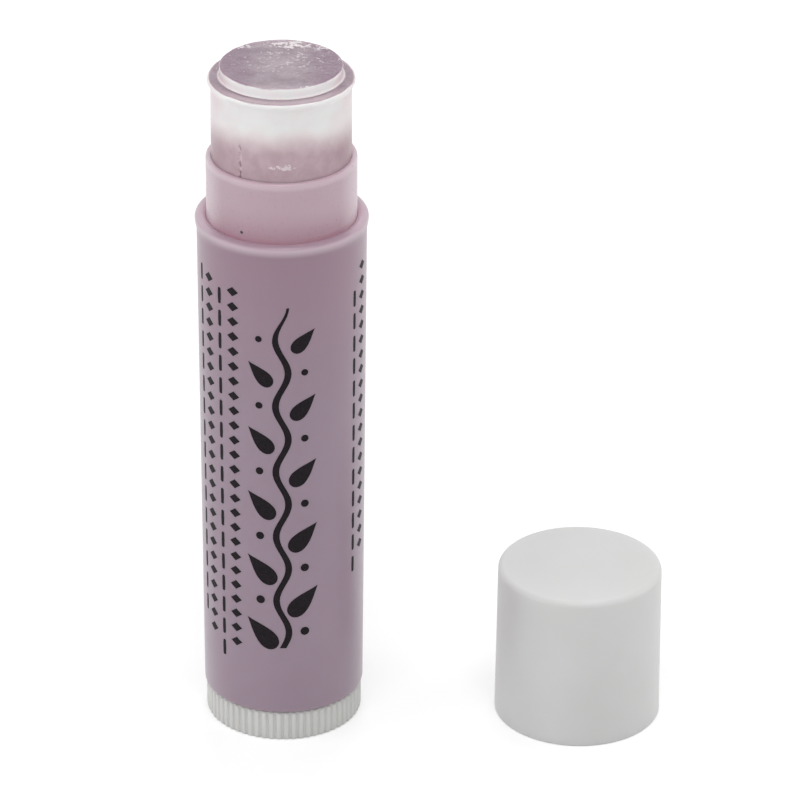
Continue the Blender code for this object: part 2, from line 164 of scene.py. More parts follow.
# Lead screw and carrier
SCREW_CREST = 2.9
SCREW_ROOT = 2.2
SCREW_LEAD = 3.0
SCREW_FOOT_Z = 7.0
SCREW_TOP_Z = 67.6
SCREW_TIP = 0.8
THREAD_CREST = 0.5
THREAD_ROOT = 1.6
THREAD_FOOT = 1.44
THREAD_SUNK = 0.15
THREAD_STEPS = 36
COLLAR_RADIUS = 5.6
COLLAR_FOOT_Z = 6.55
COLLAR_TOP_Z = 7.75
JOURNAL_RADIUS = 3.52
JOURNAL_FOOT_Z = 3.9
SHANK_RADIUS = 3.12
SHANK_FOOT_Z = 1.3
SHANK_EDGE = 0.1
CARRIER_RADIUS = 8.19
CARRIER_BORE = 7.49
CARRIER_FOOT_Z = 12.55
CARRIER_FLOOR_Z = 13.75
CARRIER_TOP_Z = 19.55
HUB_RADIUS = 4.59
HUB_TOP_Z = 18.55
FIN_TOP_Z = 17.15
FIN_THICKNESS = 0.8
NUT_CLEARANCE = 0.12
NUT_FLANK = 0.06
NUT_TIP = 0.1
RIB_CLEARANCE = 0.1

# Cap and liner
CAP_PLACE = (35.8, -0.8)
CAP_HEIGHT = 19.65
CAP_MOUTH_RADIUS = 10.05
CAP_TOP_RADIUS = 9.86
CAP_BORE = 8.94
CAP_TOP_BORE = 8.64
CAP_CEILING_Z = 18.25
CAP_STEP_Z = 8.25
LINER_RADIUS = 8.56
LINER_FOOT_Z = 17.15
LINER_TOP_Z = 17.95
LINER_BEAD_RADIUS = 7.88
LINER_BEAD_SLOPE = 0.2
LINER_EDGE_Z = 17.33

# Overlap of parts that are joined into one piece
SUNK = 0.3

# Facets. A plain turned piece has one arc, in degrees and steps.
WIDE_TURN = [(360.0, 144)]
NARROW_TURN = [(360.0, 72)]
ROUND_STEPS = 5
SHARP_ANGLE = math.radians(40.0)


# Shaping


def bevelled(mesh, picked, offset, affect="EDGES", segments=2):
    """Round some edges of a solid, or some corners of a section."""
    bmesh.ops.bevel(
        mesh,
        geom=picked,
        offset=offset,
        segments=segments,
        profile=0.5,
        affect=affect,
        material=-1,
    )


def section(corners, closed=True):
    """A turned piece's section, from (radius, height, rounding) corners."""
    mesh = bmesh.new()
    points = [mesh.verts.new((radius, 0.0, height)) for radius, height, _ in corners]
    pairs = list(zip(points, points[1:]))
    if closed:
        pairs.append((points[-1], points[0]))
    for pair in pairs:
        mesh.edges.new(pair)
    for rounding in sorted({corner[2] for corner in corners if corner[2] > 0.0}):
        picked = [point for point, corner in zip(points, corners) if corner[2] == rounding]
        bevelled(mesh, picked, rounding, "VERTICES", ROUND_STEPS)
    return mesh


def cut_fine(mesh, spacing, low, high):
    """Cut the section's edges that lie between two heights into pieces no longer than the spacing."""
    for edge in list(mesh.edges):
        heights = [vert.co.z for vert in edge.verts]
        if min(heights) >= low and max(heights) <= high:
            cuts = int(edge.calc_length() / spacing)
            if cuts:
                bmesh.ops.subdivide_edges(mesh, edges=[edge], cuts=cuts)


def spun(mesh, shape, angle, steps, lift=0.0, merge=False):
    """Spin a shape round Z, with a lift at each step, and return what it ends with."""
    made = bmesh.ops.spin(
        mesh,
        geom=shape,
        axis=(0.0, 0.0, 1.0),
        dvec=(0.0, 0.0, lift),
        angle=angle,
        steps=steps,
        use_merge=merge,
    )
    return made["geom_last"]


def turned(mesh, arcs=WIDE_TURN):
    """Spin a section once round Z, through (degrees, steps) arcs that add up to a full turn."""
    ring = mesh.verts[:] + mesh.edges[:]
    for degrees, steps in arcs:
        ring = spun(mesh, ring, math.radians(degrees), steps, merge=len(arcs) == 1)
    return closed_up(mesh)


def closed_up(mesh):
    """Merge the seam and the poles, and point the faces outwards."""
    bmesh.ops.remove_doubles(mesh, verts=mesh.verts[:], dist=0.0005)
    bmesh.ops.dissolve_degenerate(mesh, edges=mesh.edges[:], dist=0.00001)
    bmesh.ops.recalc_face_normals(mesh, faces=mesh.faces[:])
    return mesh


def upright_bars(angles, inner, outer, width, low, high):
    """Upright bars, each between two radii at its own angle."""
    mesh = bmesh.new()
    size = Matrix.Diagonal((outer - inner, width, high - low, 1.0))
    middle = Matrix.Translation(((inner + outer) / 2, 0.0, (low + high) / 2))
    for angle in angles:
        bmesh.ops.create_cube(mesh, size=1.0, matrix=Matrix.Rotation(angle, 4, "Z") @ middle @ size)
    return mesh


def as_data(name, mesh):
    """Turn a working mesh into mesh data."""
    data = bpy.data.meshes.new(name)
    mesh.to_mesh(data)
    mesh.free()
    return data


def in_scene(name, data):
    """A new object that is part of the scene."""
    thing = bpy.data.objects.new(name, data)
    bpy.context.scene.collection.objects.link(thing)
    return thing


def cut_out(mesh, other):
    """Cut another closed shape out of a mesh, and return the result."""
    holders = [in_scene("shape", as_data("shape", shape)) for shape in (mesh, other)]
    modifier = holders[0].modifiers.new("shape", "BOOLEAN")
    modifier.operation = "DIFFERENCE"
    modifier.solver = "EXACT"
    modifier.object = holders[1]
    shaped = holders[0].evaluated_get(bpy.context.evaluated_depsgraph_get())
    result = bmesh.new()
    result.from_mesh(shaped.to_mesh())
    shaped.to_mesh_clear()
    for holder in holders:
        data = holder.data
        bpy.data.objects.remove(holder)
        bpy.data.meshes.remove(data)
    return result


def joined(meshes):
    """Several closed shapes as the parts of one mesh."""
    whole = bmesh.new()
    for mesh in meshes:
        data = as_data("part", mesh)
        whole.from_mesh(data)
        bpy.data.meshes.remove(data)
    return whole


def piece(name, mesh, finish, body, nodes=(), place=(0.0, 0.0)):
    """Scale a finished mesh to metres and set it on its body, in place of the CAD nodes it stands for."""
    settle = Matrix.Scale(MM, 4) @ Matrix.Translation((*place, 0.0))
    bmesh.ops.transform(mesh, matrix=settle, verts=mesh.verts[:])
    data = as_data(name, mesh)
    data.materials.append(finish)
    data.shade_smooth()
    data.set_sharp_from_angle(angle=SHARP_ANGLE)
    thing = in_scene(name, data)
    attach(thing, body)
    if nodes:
        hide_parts(*nodes)
    return thing


def soft_step(value, start, end):
    """0 before start and 1 after end, with a smooth rise between."""
    share = min(1.0, max(0.0, (value - start) / (end - start)))
    return share * share * (3.0 - 2.0 * share)


def ripple(point, height, size, seed):
    """Smooth unevenness up to this height, with humps of about this size."""
    return height * noise.noise(point / size + Vector((seed, seed * 1.7, seed * 2.3)))


# Finishes

# The shared groups' sockets that hold a vector. The others hold a value.
VECTOR_SOCKETS = {"Place", "Axis", "Centre", "Stretch"}
GLINT_INPUTS = ["Place", "Centre", "Stretch", "Reach", "Size", "Thickness"]

# Shader values that the pink plastics share
SATIN = {"Subsurface_Scale": 0.0015, "Sheen_Weight": 0.3, "Sheen_Roughness": 0.4}

# Tints over the pink plastics: each has a colour, as a screen shows it, and the ramps that let it through.
# Most of them are painted light and shade, as each one says. A ramp says what it runs over, where it starts
# and ends, and its share before and after.
SLEEVE_TINTS_AND_PAINTED_LIGHT = [
    ((164, 135, 151), ("Height", 44.0, BARREL_TOP_Z, 0.0, 1.0)),
    # Painted highlight: a paler band on the lip's rounded crest, where light from above and in front catches
    # it.
    (
        (205, 186, 196),
        ("Height", LIP_FOOT_Z + 0.1, LIP_FOOT_Z + 1.2, 0.0, 1.0),
        ("Height", BARREL_TOP_Z - 0.5, BARREL_TOP_Z - 0.1, 0.95, 0.1),
        ("Radius", BARREL_BORE + 0.3, BARREL_BORE + 0.7, 0.0, 1.0),
    ),
    # Painted light: the lip's top paler towards its left and right, where the light round the sides falls on
    # it.
    (
        (216, 196, 206),
        ("Height", BARREL_TOP_Z - 0.5, BARREL_TOP_Z - 0.1, 0.0, 1.0),
        ("Aside", 7.0, 9.2, 0.0, 0.55),
    ),
    # Painted light: the lip's inner wall paler near the bore, against the shade in the crevice by the neck.
    ((234, 210, 220), ("Radius", BARREL_BORE + 0.1, BARREL_BORE + 0.4, 0.9, 0.0)),
]
NECK_TINTS_AND_PAINTED_LIGHT = [
    # Painted shade: darker at the neck's foot, in the valley where it meets the lip.
    ((176, 138, 152), ("Height", BARREL_TOP_Z - 0.2, BARREL_TOP_Z + 4.2, 0.85, 0.0)),
    # Painted shade: a redder pink in the crevice at the neck's foot, as the shaded crevice shows.
    ((212, 168, 184), ("Height", BARREL_TOP_Z - 0.3, BARREL_TOP_Z + 0.8, 0.6, 0.0)),
    # Painted light: the neck paler towards its left and right edges.
    ((226, 206, 214), ("Aside", 6.6, 8.5, 0.0, 0.55)),
    # Painted highlight: a paler band on the neck's rounded rim, just below the mouth.
    (
        (222, 202, 210),
        ("Height", MOUTH_Z - 1.0, MOUTH_Z - 0.45, 0.0, 0.6),
        ("Height", MOUTH_Z - 0.3, MOUTH_Z - 0.08, 1.0, 0.15),
    ),
    # Painted light: paler on the rim's inner edge and down the bore, against the shade between the rim and
    # the gel.
    ((236, 214, 222), ("Radius", TUBE_BORE + 0.02, TUBE_BORE + 0.14, 0.8, 0.0)),
    ((38, 26, 32), ("Grain", 0.13, 0.25, 1.0, 0.0)),
]

# Ramps in the gel's finish, with the same four numbers, or two where the share goes from 0 to 1
# The ramps for the mouth, the sides, the front and back, the middle and the ledge's front place painted light
# and shade.
CLEAR_RAMP = (75.9, 79.9, 1.0, 0.0)
MOUTH_SHADE_RAMP = (MOUTH_Z - 0.5, MOUTH_Z + 2.6, 0.3, 0.1)
SIDE_SHADE_HEIGHT_RAMP = (MOUTH_Z - 8.0, MOUTH_Z - 1.0)
MOUTH_LIGHT_RAMP = (MOUTH_Z - 6.0, MOUTH_Z - 0.5)
MOUTH_LIGHT_END_RAMP = (MOUTH_Z - 0.1, MOUTH_Z + 0.8, 0.35, 0.0)
PLATEAU_RAMP = (PLATEAU_Z - 0.3, PLATEAU_Z - 0.12)
PLATEAU_EDGE_RAMP = (PLATEAU_RADIUS - 0.1, PLATEAU_RADIUS + 0.02, 1.0, 0.0)
LEDGE_RAMP = (LEDGE_Z - 0.3, LEDGE_Z - 0.12)
LEDGE_INNER_RAMP = (PLATEAU_RADIUS + 0.12, PLATEAU_RADIUS + 0.36)
LEDGE_OUTER_RAMP = (8.5, 8.74, 1.0, 0.0)
OUTSIDE_RAMP = (PLATEAU_RADIUS, PLATEAU_RADIUS + 0.3)
MIDDLE_LIGHT_RAMP = (1.0, PLATEAU_RADIUS - 1.6, 0.5, 0.0)
TOP_SIDE_SHADE_RAMP = (1.8, 5.2, 0.0, 0.85)
TOP_SIDE_SHADE_OUTER_RAMP = (PLATEAU_RADIUS, PLATEAU_RADIUS + 0.3, 1.0, 0.45)
FRONT_LIGHT_RAMP = (-6.6, -4.0, 0.9, 0.0)
BACK_LIGHT_RAMP = (4.2, 6.8, 0.0, 0.85)
LEDGE_FRONT_LIGHT_RAMP = (-6.6, -2.0, 0.85, 0.0)
BRIM_RAMP = (7.8, 8.3, 0.0, 0.5)
TRACK_RAMP = (0.05, 0.34, 1.0, 0.0)
TRACK_END_RAMP = (GROOVE_END_Z, GROOVE_END_Z + 0.4, 1.0, 0.0)


def add_node(tree, kind, inputs=None, **settings):
    """A node with its settings, its inputs linked or given plain values."""
    made = tree.nodes.new("ShaderNode" + kind)
    for setting, value in settings.items():
        setattr(made, setting, value)
    for socket, value in (inputs or {}).items():
        if isinstance(value, bpy.types.NodeSocket):
            tree.links.new(value, made.inputs[socket])
        else:
            made.inputs[socket].default_value = value
    return made


def maths(tree, operation, first, second=0.0, clamp=False):
    """Arithmetic with one value or two."""
    inputs = {0: first, 1: second}
    return add_node(tree, "Math", inputs, operation=operation, use_clamp=clamp).outputs[0]


def times(tree, first, *others):
    """The product of some values."""
    for other in others:
        first = maths(tree, "MULTIPLY", first, other)
    return first


def vector_maths(tree, operation, output, first, second=None):
    """Arithmetic with one vector or two, which gives a vector or a value."""
    inputs = {0: first} if second is None else {0: first, 1: second}
    return add_node(tree, "VectorMath", inputs, operation=operation).outputs[output]


def unevenness(tree, place, scale, detail, roughness=0.5):
    """Smooth noise round a half."""
    inputs = {"Vector": place, "Scale": scale, "Detail": detail, "Roughness": roughness}
    return add_node(tree, "TexNoise", inputs).outputs["Fac"]


def rise(tree, value, start, end, low=0.0, high=1.0):
    """A smooth rise from low to high as the value goes from start to end."""
    inputs = {"Value": value, 1: start, 2: end, 3: low, 4: high}
    return add_node(tree, "MapRange", inputs, interpolation_type="SMOOTHSTEP").outputs[0]


def colour(red, green, blue):
    """A colour as a screen shows it, from 0 to 255, as the shader's own light."""
    screen = [channel / 255.0 for channel in (red, green, blue)]
    light = [c / 12.92 if c <= 0.04045 else ((c + 0.055) / 1.055) ** 2.4 for c in screen]
    return (*light, 1.0)


def mixed(tree, share, first, second):
    """A colour between two others, each of them linked or as a screen shows it."""
    first, second = (colour(*tone) if isinstance(tone, tuple) else tone for tone in (first, second))
    inputs = {0: share, 6: first, 7: second}
    return add_node(tree, "Mix", inputs, data_type="RGBA").outputs[2]


def mixed_value(tree, share, first, second):
    """A number between two others."""
    return add_node(tree, "Mix", {0: share, 2: first, 3: second}, data_type="FLOAT").outputs[0]


def tinted(tree, base, where, tints):
    """Lay tints over a colour, each as strong as the product of its ramps."""
    for tone, *ramps in tints:
        shares = [rise(tree, where[over], *ramp) for over, *ramp in ramps]
        base = mixed(tree, times(tree, *shares), base, tone)
    return base


def new_group(name, inputs, outputs):
    """An empty node group with its sockets, and its input and output nodes."""
    tree = bpy.data.node_groups.new(name, "ShaderNodeTree")
    for direction, sockets in (("INPUT", inputs), ("OUTPUT", outputs)):
        for socket in sockets:
            kind = "NodeSocketVector" if socket in VECTOR_SOCKETS else "NodeSocketFloat"
            tree.interface.new_socket(socket, in_out=direction, socket_type=kind)
    return tree, tree.nodes.new("NodeGroupInput").outputs, tree.nodes.new("NodeGroupOutput").inputs


def place_round_axis():
    """Where a point lies, in millimetres: its place, and how far it is from an upright axis, from the ground,
    from the axis to the left or right, and from the grain in the neck."""
    outputs = ["Place", "Radius", "Height", "Aside", "Grain"]
    tree, given, out = new_group("place_round_axis", ["Axis"], outputs)
    where = add_node(tree, "TexCoord").outputs["Object"]
    scaled = add_node(tree, "VectorMath", {0: where, "Scale": 1.0 / MM}, operation="SCALE")
    place = vector_maths(tree, "SUBTRACT", "Vector", scaled.outputs[0], given["Axis"])
    x, y, z = add_node(tree, "SeparateXYZ", {0: place}).outputs
    flat = add_node(tree, "CombineXYZ", {0: x, 1: y}).outputs[0]
    tree.links.new(place, out["Place"])
    tree.links.new(vector_maths(tree, "LENGTH", "Value", flat), out["Radius"])
    tree.links.new(z, out["Height"])
    tree.links.new(maths(tree, "ABSOLUTE", x), out["Aside"])
    tree.links.new(vector_maths(tree, "DISTANCE", "Value", place, GRAIN_PLACE), out["Grain"])
    return tree


def moulded_skin():
    """The faint orange peel and slow drift in tone of a moulded or cast skin."""
    tree, given, out = new_group("moulded_skin", ["Place", "Peel", "Drift"], ["Peel", "Drift"])
    for socket, detail in (("Peel", 3.0), ("Drift", 2.0)):
        scale = maths(tree, "DIVIDE", 1.0, given[socket])
        tree.links.new(unevenness(tree, given["Place"], scale, detail, 0.55), out[socket])
    return tree


def hairline_marks():
    """Sparse fine rubs, mostly level, as a piece gets from a hand or a box."""
    tree, given, out = new_group("hairline_marks", ["Place"], ["Marks"])
    inputs = {"Vector": given["Place"], "Rotation": (0.1, 0.25, 0.0), "Scale": (0.16, 0.16, 2.4)}
    stretched = add_node(tree, "Mapping", inputs).outputs[0]
    lines = unevenness(tree, stretched, 1.0, 1.0)
    off_centre = maths(tree, "ABSOLUTE", maths(tree, "SUBTRACT", lines, 0.5))
    thin = rise(tree, off_centre, 0.001, 0.006, 1.0, 0.0)
    patches = unevenness(tree, given["Place"], 0.35, 2.0)
    tree.links.new(times(tree, thin, rise(tree, patches, 0.54, 0.66)), out["Marks"])
    return tree


def pigment_specks():
    """Single grains, set sparsely through the plastic."""
    tree, given, out = new_group("pigment_specks", ["Place", "Spacing", "Size"], ["Specks"])
    scale = maths(tree, "DIVIDE", 1.0, given["Spacing"])
    cells = add_node(tree, "TexVoronoi", {"Vector": given["Place"], "Scale": scale}).outputs
    reach = maths(tree, "DIVIDE", given["Size"], given["Spacing"])
    near = maths(tree, "LESS_THAN", cells["Distance"], reach)
    pick = add_node(tree, "SeparateColor", {0: cells["Color"]}).outputs[0]
    tree.links.new(times(tree, near, maths(tree, "GREATER_THAN", pick, 0.6)), out["Specks"])
    return tree


def painted_glints():
    """Small pale flecks, painted as glints of light off the gel's rough surface, thickest near a given place.
    """
    tree, given, out = new_group("painted_glints", GLINT_INPUTS, ["Flecks"])
    away = vector_maths(tree, "SUBTRACT", "Vector", given["Place"], given["Centre"])
    away = vector_maths(tree, "MULTIPLY", "Vector", away, given["Stretch"])
    length = vector_maths(tree, "LENGTH", "Value", away)
    near = rise(tree, maths(tree, "DIVIDE", length, given["Reach"]), 0.15, 1.2, given["Thickness"], -0.1)
    grains = unevenness(tree, given["Place"], maths(tree, "DIVIDE", 1.0, given["Size"]), 2.0)
    tree.links.new(rise(tree, maths(tree, "ADD", grains, near), 0.72, 0.84), out["Flecks"])
    return tree


def use_group(tree, maker, inputs):
    """The outputs of a shared group, which its maker makes when it is first asked for."""
    group = bpy.data.node_groups.get(maker.__name__) or maker()
    return add_node(tree, "Group", inputs, node_tree=group).outputs


def new_finish(name, axis=(0.0, 0.0), **sockets):
    """A material with plain values on its shader, and where each point lies round the piece's axis."""
    finish = bpy.data.materials.new(name)
    finish.use_nodes = True
    tree = finish.node_tree
    shader = tree.nodes["Principled BSDF"]
    for socket, value in sockets.items():
        shader.inputs[socket.replace("_", " ")].default_value = value
    return finish, tree, shader, use_group(tree, place_round_axis, {"Axis": (*axis, 0.0)})


def feed(tree, shader, base, roughness, height, distance):
    """Link the three things that change over a surface: its colour, its roughness and its relief."""
    tree.links.new(base, shader.inputs["Base Color"])
    tree.links.new(roughness, shader.inputs["Roughness"])
    bump = add_node(tree, "Bump", {"Height": height, "Distance": distance * MM})
    tree.links.new(bump.outputs[0], shader.inputs["Normal"])


def moulded(name, tones, gloss, peel, marks, relief, tints=(), specks=0.0, axis=(0.0, 0.0), **sockets):
    """Moulded plastic: a drifting tone, an orange peel, hairline marks, a few specks and tints, some of them
    painted light and shade.
    """
    finish, tree, shader, where = new_finish(name, axis, **sockets)
    place = where["Place"]
    skin = use_group(tree, moulded_skin, {"Place": place, "Peel": peel, "Drift": 9.0})
    base = mixed(tree, rise(tree, skin["Drift"], 0.3, 0.7), *tones)
    roughness = rise(tree, skin["Peel"], 0.2, 0.8, gloss - 0.04, gloss + 0.05)
    rubs = use_group(tree, hairline_marks, {"Place": place})["Marks"]
    roughness = maths(tree, "ADD", roughness, times(tree, rubs, marks))
    if specks:
        grains = use_group(tree, pigment_specks, {"Place": place, "Spacing": 3.1, "Size": specks})
        base = mixed(tree, times(tree, grains["Specks"], 0.2), base, (70, 52, 62))
    feed(tree, shader, tinted(tree, base, where, tints), roughness, skin["Peel"], relief)
    return finish


def sleeve_plastic():
    """The barrel's dusty pink, a little warmer towards the lip, with a painted highlight on the lip, and
    painted light at the lip's left and right and on its inner wall.
    """
    return moulded(
        "sleeve_plastic",
        [(164, 143, 159), (161, 140, 156)],
        gloss=0.32,
        peel=0.35,
        marks=0.12,
        relief=0.006,
        tints=SLEEVE_TINTS_AND_PAINTED_LIGHT,
        specks=0.05,
        IOR=1.49,
        Subsurface_Weight=0.4,
        Subsurface_Radius=(1.0, 0.6, 0.7),
        **SATIN,
    )


def tube_plastic():
    """The neck's paler pink with one dark grain near its foot, painted shade at the foot, and painted light
    on its edges, its rim and its bore.
    """
    return moulded(
        "tube_plastic",
        [(200, 173, 185), (196, 169, 181)],
        gloss=0.3,
        peel=0.3,
        marks=0.1,
        relief=0.005,
        tints=NECK_TINTS_AND_PAINTED_LIGHT,
        specks=0.04,
        IOR=1.58,
        Subsurface_Weight=0.5,
        Subsurface_Radius=(1.0, 0.65, 0.75),
        **SATIN,
    )


def white_plastic(name, tones, axis=(0.0, 0.0)):
    """The white of the cap, the knob and the drive."""
    return moulded(
        name,
        tones,
        gloss=0.36,
        peel=0.4,
        marks=0.14,
        relief=0.005,
        axis=axis,
        IOR=1.49,
        Subsurface_Weight=0.4,
        Subsurface_Radius=(1.0, 0.95, 0.9),
        Subsurface_Scale=0.002,
    )


def soft_finish(name, tones, gloss, cell, axis=(0.0, 0.0)):
    """Foamed or rubbery sheet: fine cells in its skin."""
    finish, tree, shader, where = new_finish(name, axis, IOR=1.45)
    inputs = {"Vector": where["Place"], "Scale": 1.0 / cell}
    cells = add_node(tree, "TexVoronoi", inputs).outputs["Distance"]
    skin = use_group(tree, moulded_skin, {"Place": where["Place"], "Peel": cell * 3, "Drift": 5.0})
    base = mixed(tree, rise(tree, skin["Drift"], 0.3, 0.7), *tones)
    feed(tree, shader, base, rise(tree, skin["Peel"], 0.2, 0.8, gloss - 0.06, gloss + 0.06), cells, 0.03)
    return finish


def gel_sides(tree, where, skin, wide):
    """The gel's side: whitened where it has dried, and clear near the neck, where a painted mauve stands for
    the pink neck seen through it; painted shade at its left and right and at the mouth, and painted light
    just above the mouth.
    """
    _, y, z = add_node(tree, "SeparateXYZ", {0: where["Place"]}).outputs
    front_or_back = maths(tree, "DIVIDE", maths(tree, "ABSOLUTE", y), where["Radius"])
    sideways = maths(tree, "SUBTRACT", 1.0, times(tree, front_or_back, 0.89))
    sideways = maths(tree, "ADD", sideways, rise(tree, wide["Drift"], 0.2, 0.8, -0.12, 0.12))
    slanted = maths(tree, "ADD", z, times(tree, y, 0.17))
    level = maths(tree, "ADD", slanted, times(tree, wide["Drift"], 1.6))
    # Painted shade: the gel darker towards its left and right above the neck, and darker at the mouth.
    side_shade_height = rise(tree, z, *SIDE_SHADE_HEIGHT_RAMP)
    painted_side_shade = times(tree, rise(tree, sideways, 0.15, 0.75, 0.0, 0.75), side_shade_height)
    painted_shade = maths(tree, "ADD", rise(tree, z, *MOUTH_SHADE_RAMP), painted_side_shade, clamp=True)
    # Painted light: paler just above the mouth, against the shade where the gel meets the rim.
    painted_mouth_light = times(tree, rise(tree, z, *MOUTH_LIGHT_END_RAMP), rise(tree, z, *MOUTH_LIGHT_RAMP))

    cloudy = mixed(tree, rise(tree, skin["Drift"], 0.35, 0.65), (255, 251, 250), (252, 244, 244))
    # Painted shade: the white side greyer towards its left and right.
    cloudy = mixed(tree, rise(tree, sideways, 0.2, 0.9, 0.0, 0.65), cloudy, (232, 216, 221))
    # The mauve below is painted in for the pink neck seen through the clear gel.
    mauve = mixed(tree, rise(tree, wide["Peel"], 0.3, 0.7), (212, 188, 196), (198, 171, 180))
    mauve = mixed(tree, painted_shade, mauve, (170, 137, 147))
    mauve = mixed(tree, painted_mouth_light, mauve, (226, 200, 210))
    return mixed(tree, rise(tree, level, *CLEAR_RAMP), cloudy, mauve)


def gel_tops(tree, where, skin, wide):
    """How far a point is on one of the gel's two cut tops, and their dusky colour, painted in for the pink
    tube seen down through the gel, with painted light and shade over it.
    """
    radius, height = where["Radius"], where["Height"]
    head = use_group(tree, place_round_axis, {"Axis": (0.0, PLATEAU_BACK, 0.0)})["Radius"]
    top = times(tree, rise(tree, height, *PLATEAU_RAMP), rise(tree, head, *PLATEAU_EDGE_RAMP))
    ragged = maths(tree, "ADD", radius, times(tree, skin["Drift"], 0.4))
    ring = times(tree, rise(tree, head, *LEDGE_INNER_RAMP), rise(tree, ragged, *LEDGE_OUTER_RAMP))
    ledge = times(tree, rise(tree, height, *LEDGE_RAMP), ring)
    cut_face = maths(tree, "MAXIMUM", top, ledge)

    _, y, _ = add_node(tree, "SeparateXYZ", {0: where["Place"]}).outputs
    outside = rise(tree, radius, *OUTSIDE_RAMP)
    speckled = times(tree, outside, rise(tree, skin["Peel"], 0.4, 0.8, 0.0, 0.6))
    # Painted light: lighter in the middle of the top, with pale speckles on the ledge.
    middle = maths(tree, "MAXIMUM", rise(tree, radius, *MIDDLE_LIGHT_RAMP), speckled)
    # Painted shade: darker towards the left and right of the cut tops.
    top_side_shade = times(tree, rise(tree, where["Aside"], *TOP_SIDE_SHADE_RAMP), rise(tree, radius, *TOP_SIDE_SHADE_OUTER_RAMP))
    # Painted light: lighter towards the front and the back, but not at the left and right.
    lit_front_and_back = maths(tree, "MAXIMUM", rise(tree, y, *FRONT_LIGHT_RAMP), rise(tree, y, *BACK_LIGHT_RAMP))
    lit_front_and_back = times(tree, lit_front_and_back, maths(tree, "SUBTRACT", 1.0, top_side_shade))
    # Painted light: the ledge lighter at its front.
    lit_ledge_front = times(tree, outside, rise(tree, y, *LEDGE_FRONT_LIGHT_RAMP))

    # The dusky mauve is painted in for the pink tube seen down through the gel: the cut tops take it and the
    # sides stay pale.
    dusk = mixed(tree, rise(tree, wide["Peel"], 0.35, 0.65), (154, 132, 144), (130, 105, 119))
    dusk = mixed(tree, middle, dusk, (176, 157, 166))
    dusk = mixed(tree, top_side_shade, dusk, (130, 97, 121))
    dusk = mixed(tree, lit_front_and_back, dusk, (168, 148, 159))
    dusk = mixed(tree, lit_ledge_front, dusk, (200, 182, 189))
    return cut_face, mixed(tree, rise(tree, radius, *BRIM_RAMP), dusk, (152, 126, 138))


def beaded_track(tree, place, height, angle, base):
    """The beads of gel that a guide rib has left along its groove, painted dark and pale by turns as their
    shade and highlights.
    """
    across = (-math.sin(angle), math.cos(angle), 0.0)
    outwards = (math.cos(angle), math.sin(angle), 0.0)
    off = maths(tree, "ABSOLUTE", vector_maths(tree, "DOT_PRODUCT", "Value", place, across))
    out = vector_maths(tree, "DOT_PRODUCT", "Value", place, outwards)
    near = times(tree, rise(tree, off, *TRACK_RAMP), maths(tree, "GREATER_THAN", out, GEL_FOOT_RADIUS))
    track = times(tree, near, rise(tree, height, *TRACK_END_RAMP))
    beads = unevenness(tree, place, 2.3, 1.5)
    # Painted shade and painted highlight: the beads dark and pale by turns.
    bead_shade = times(tree, track, rise(tree, beads, 0.38, 0.5, 0.6, 0.0))
    bead_highlight = times(tree, track, rise(tree, beads, 0.5, 0.62, 0.0, 0.5))
    base = mixed(tree, bead_shade, base, (132, 96, 112))
    return mixed(tree, bead_highlight, base, (238, 222, 228))


def gel_finish():
    """Clouded gel: white sides, darker cut tops painted for the pink tube seen through them, pale flecks as
    painted glints, and the guide ribs' tracks, with painted light and shade.
    """
    finish, tree, shader, where = new_finish(
        "gel",
        IOR=1.42,
        Subsurface_Weight=0.8,
        Subsurface_Radius=(1.0, 0.85, 0.9),
        Subsurface_Scale=0.0022,
        Coat_Roughness=0.06,
    )
    place = where["Place"]
    skin = use_group(tree, moulded_skin, {"Place": place, "Peel": 0.6, "Drift": 3.2})
    wide = use_group(tree, moulded_skin, {"Place": place, "Peel": 1.6, "Drift": 7.0})
    cut_face, dusk = gel_tops(tree, where, skin, wide)
    base = mixed(tree, cut_face, gel_sides(tree, where, skin, wide), dusk)
    # Painted glints: pale flecks where light glints off the gel's rough top and side.
    for *row, share in PAINTED_GLINT_PATCHES:
        glints = use_group(tree, painted_glints, dict(zip(GLINT_INPUTS, (place, *row))))["Flecks"]
        base = mixed(tree, times(tree, glints, share), base, (250, 244, 246))
    for rib in RIB_ANGLES:
        base = beaded_track(tree, place, where["Height"], rib, base)

    roughness = mixed_value(tree, cut_face, rise(tree, wide["Peel"], 0.3, 0.7, 0.3, 0.34), 0.16)
    relief = times(tree, skin["Peel"], cut_face)
    tree.links.new(mixed_value(tree, cut_face, 0.12, 0.55), shader.inputs["Coat Weight"])
    feed(tree, shader, base, roughness, relief, 0.14)
    return finish


def ink_finish():
    """Black printing ink, a little thin in places."""
    finish, tree, shader, where = new_finish("printing_ink", IOR=1.5, Specular_IOR_Level=0.12)
    skin = use_group(tree, moulded_skin, {"Place": where["Place"], "Peel": 0.25, "Drift": 4.0})
    base = mixed(tree, rise(tree, skin["Peel"], 0.35, 0.8), (22, 17, 22), (38, 31, 36))
    roughness = rise(tree, skin["Peel"], 0.2, 0.8, 0.42, 0.55)
    feed(tree, shader, base, roughness, skin["Peel"], 0.004)
    return finish


# Pieces


def barrel_radius(height):
    """The tapered barrel's outer radius at a height."""
    share = (height - BARREL_FOOT_Z) / (LIP_FOOT_Z - BARREL_FOOT_Z)
    return BARREL_FOOT_RADIUS + share * (BARREL_TOP_RADIUS - BARREL_FOOT_RADIUS)


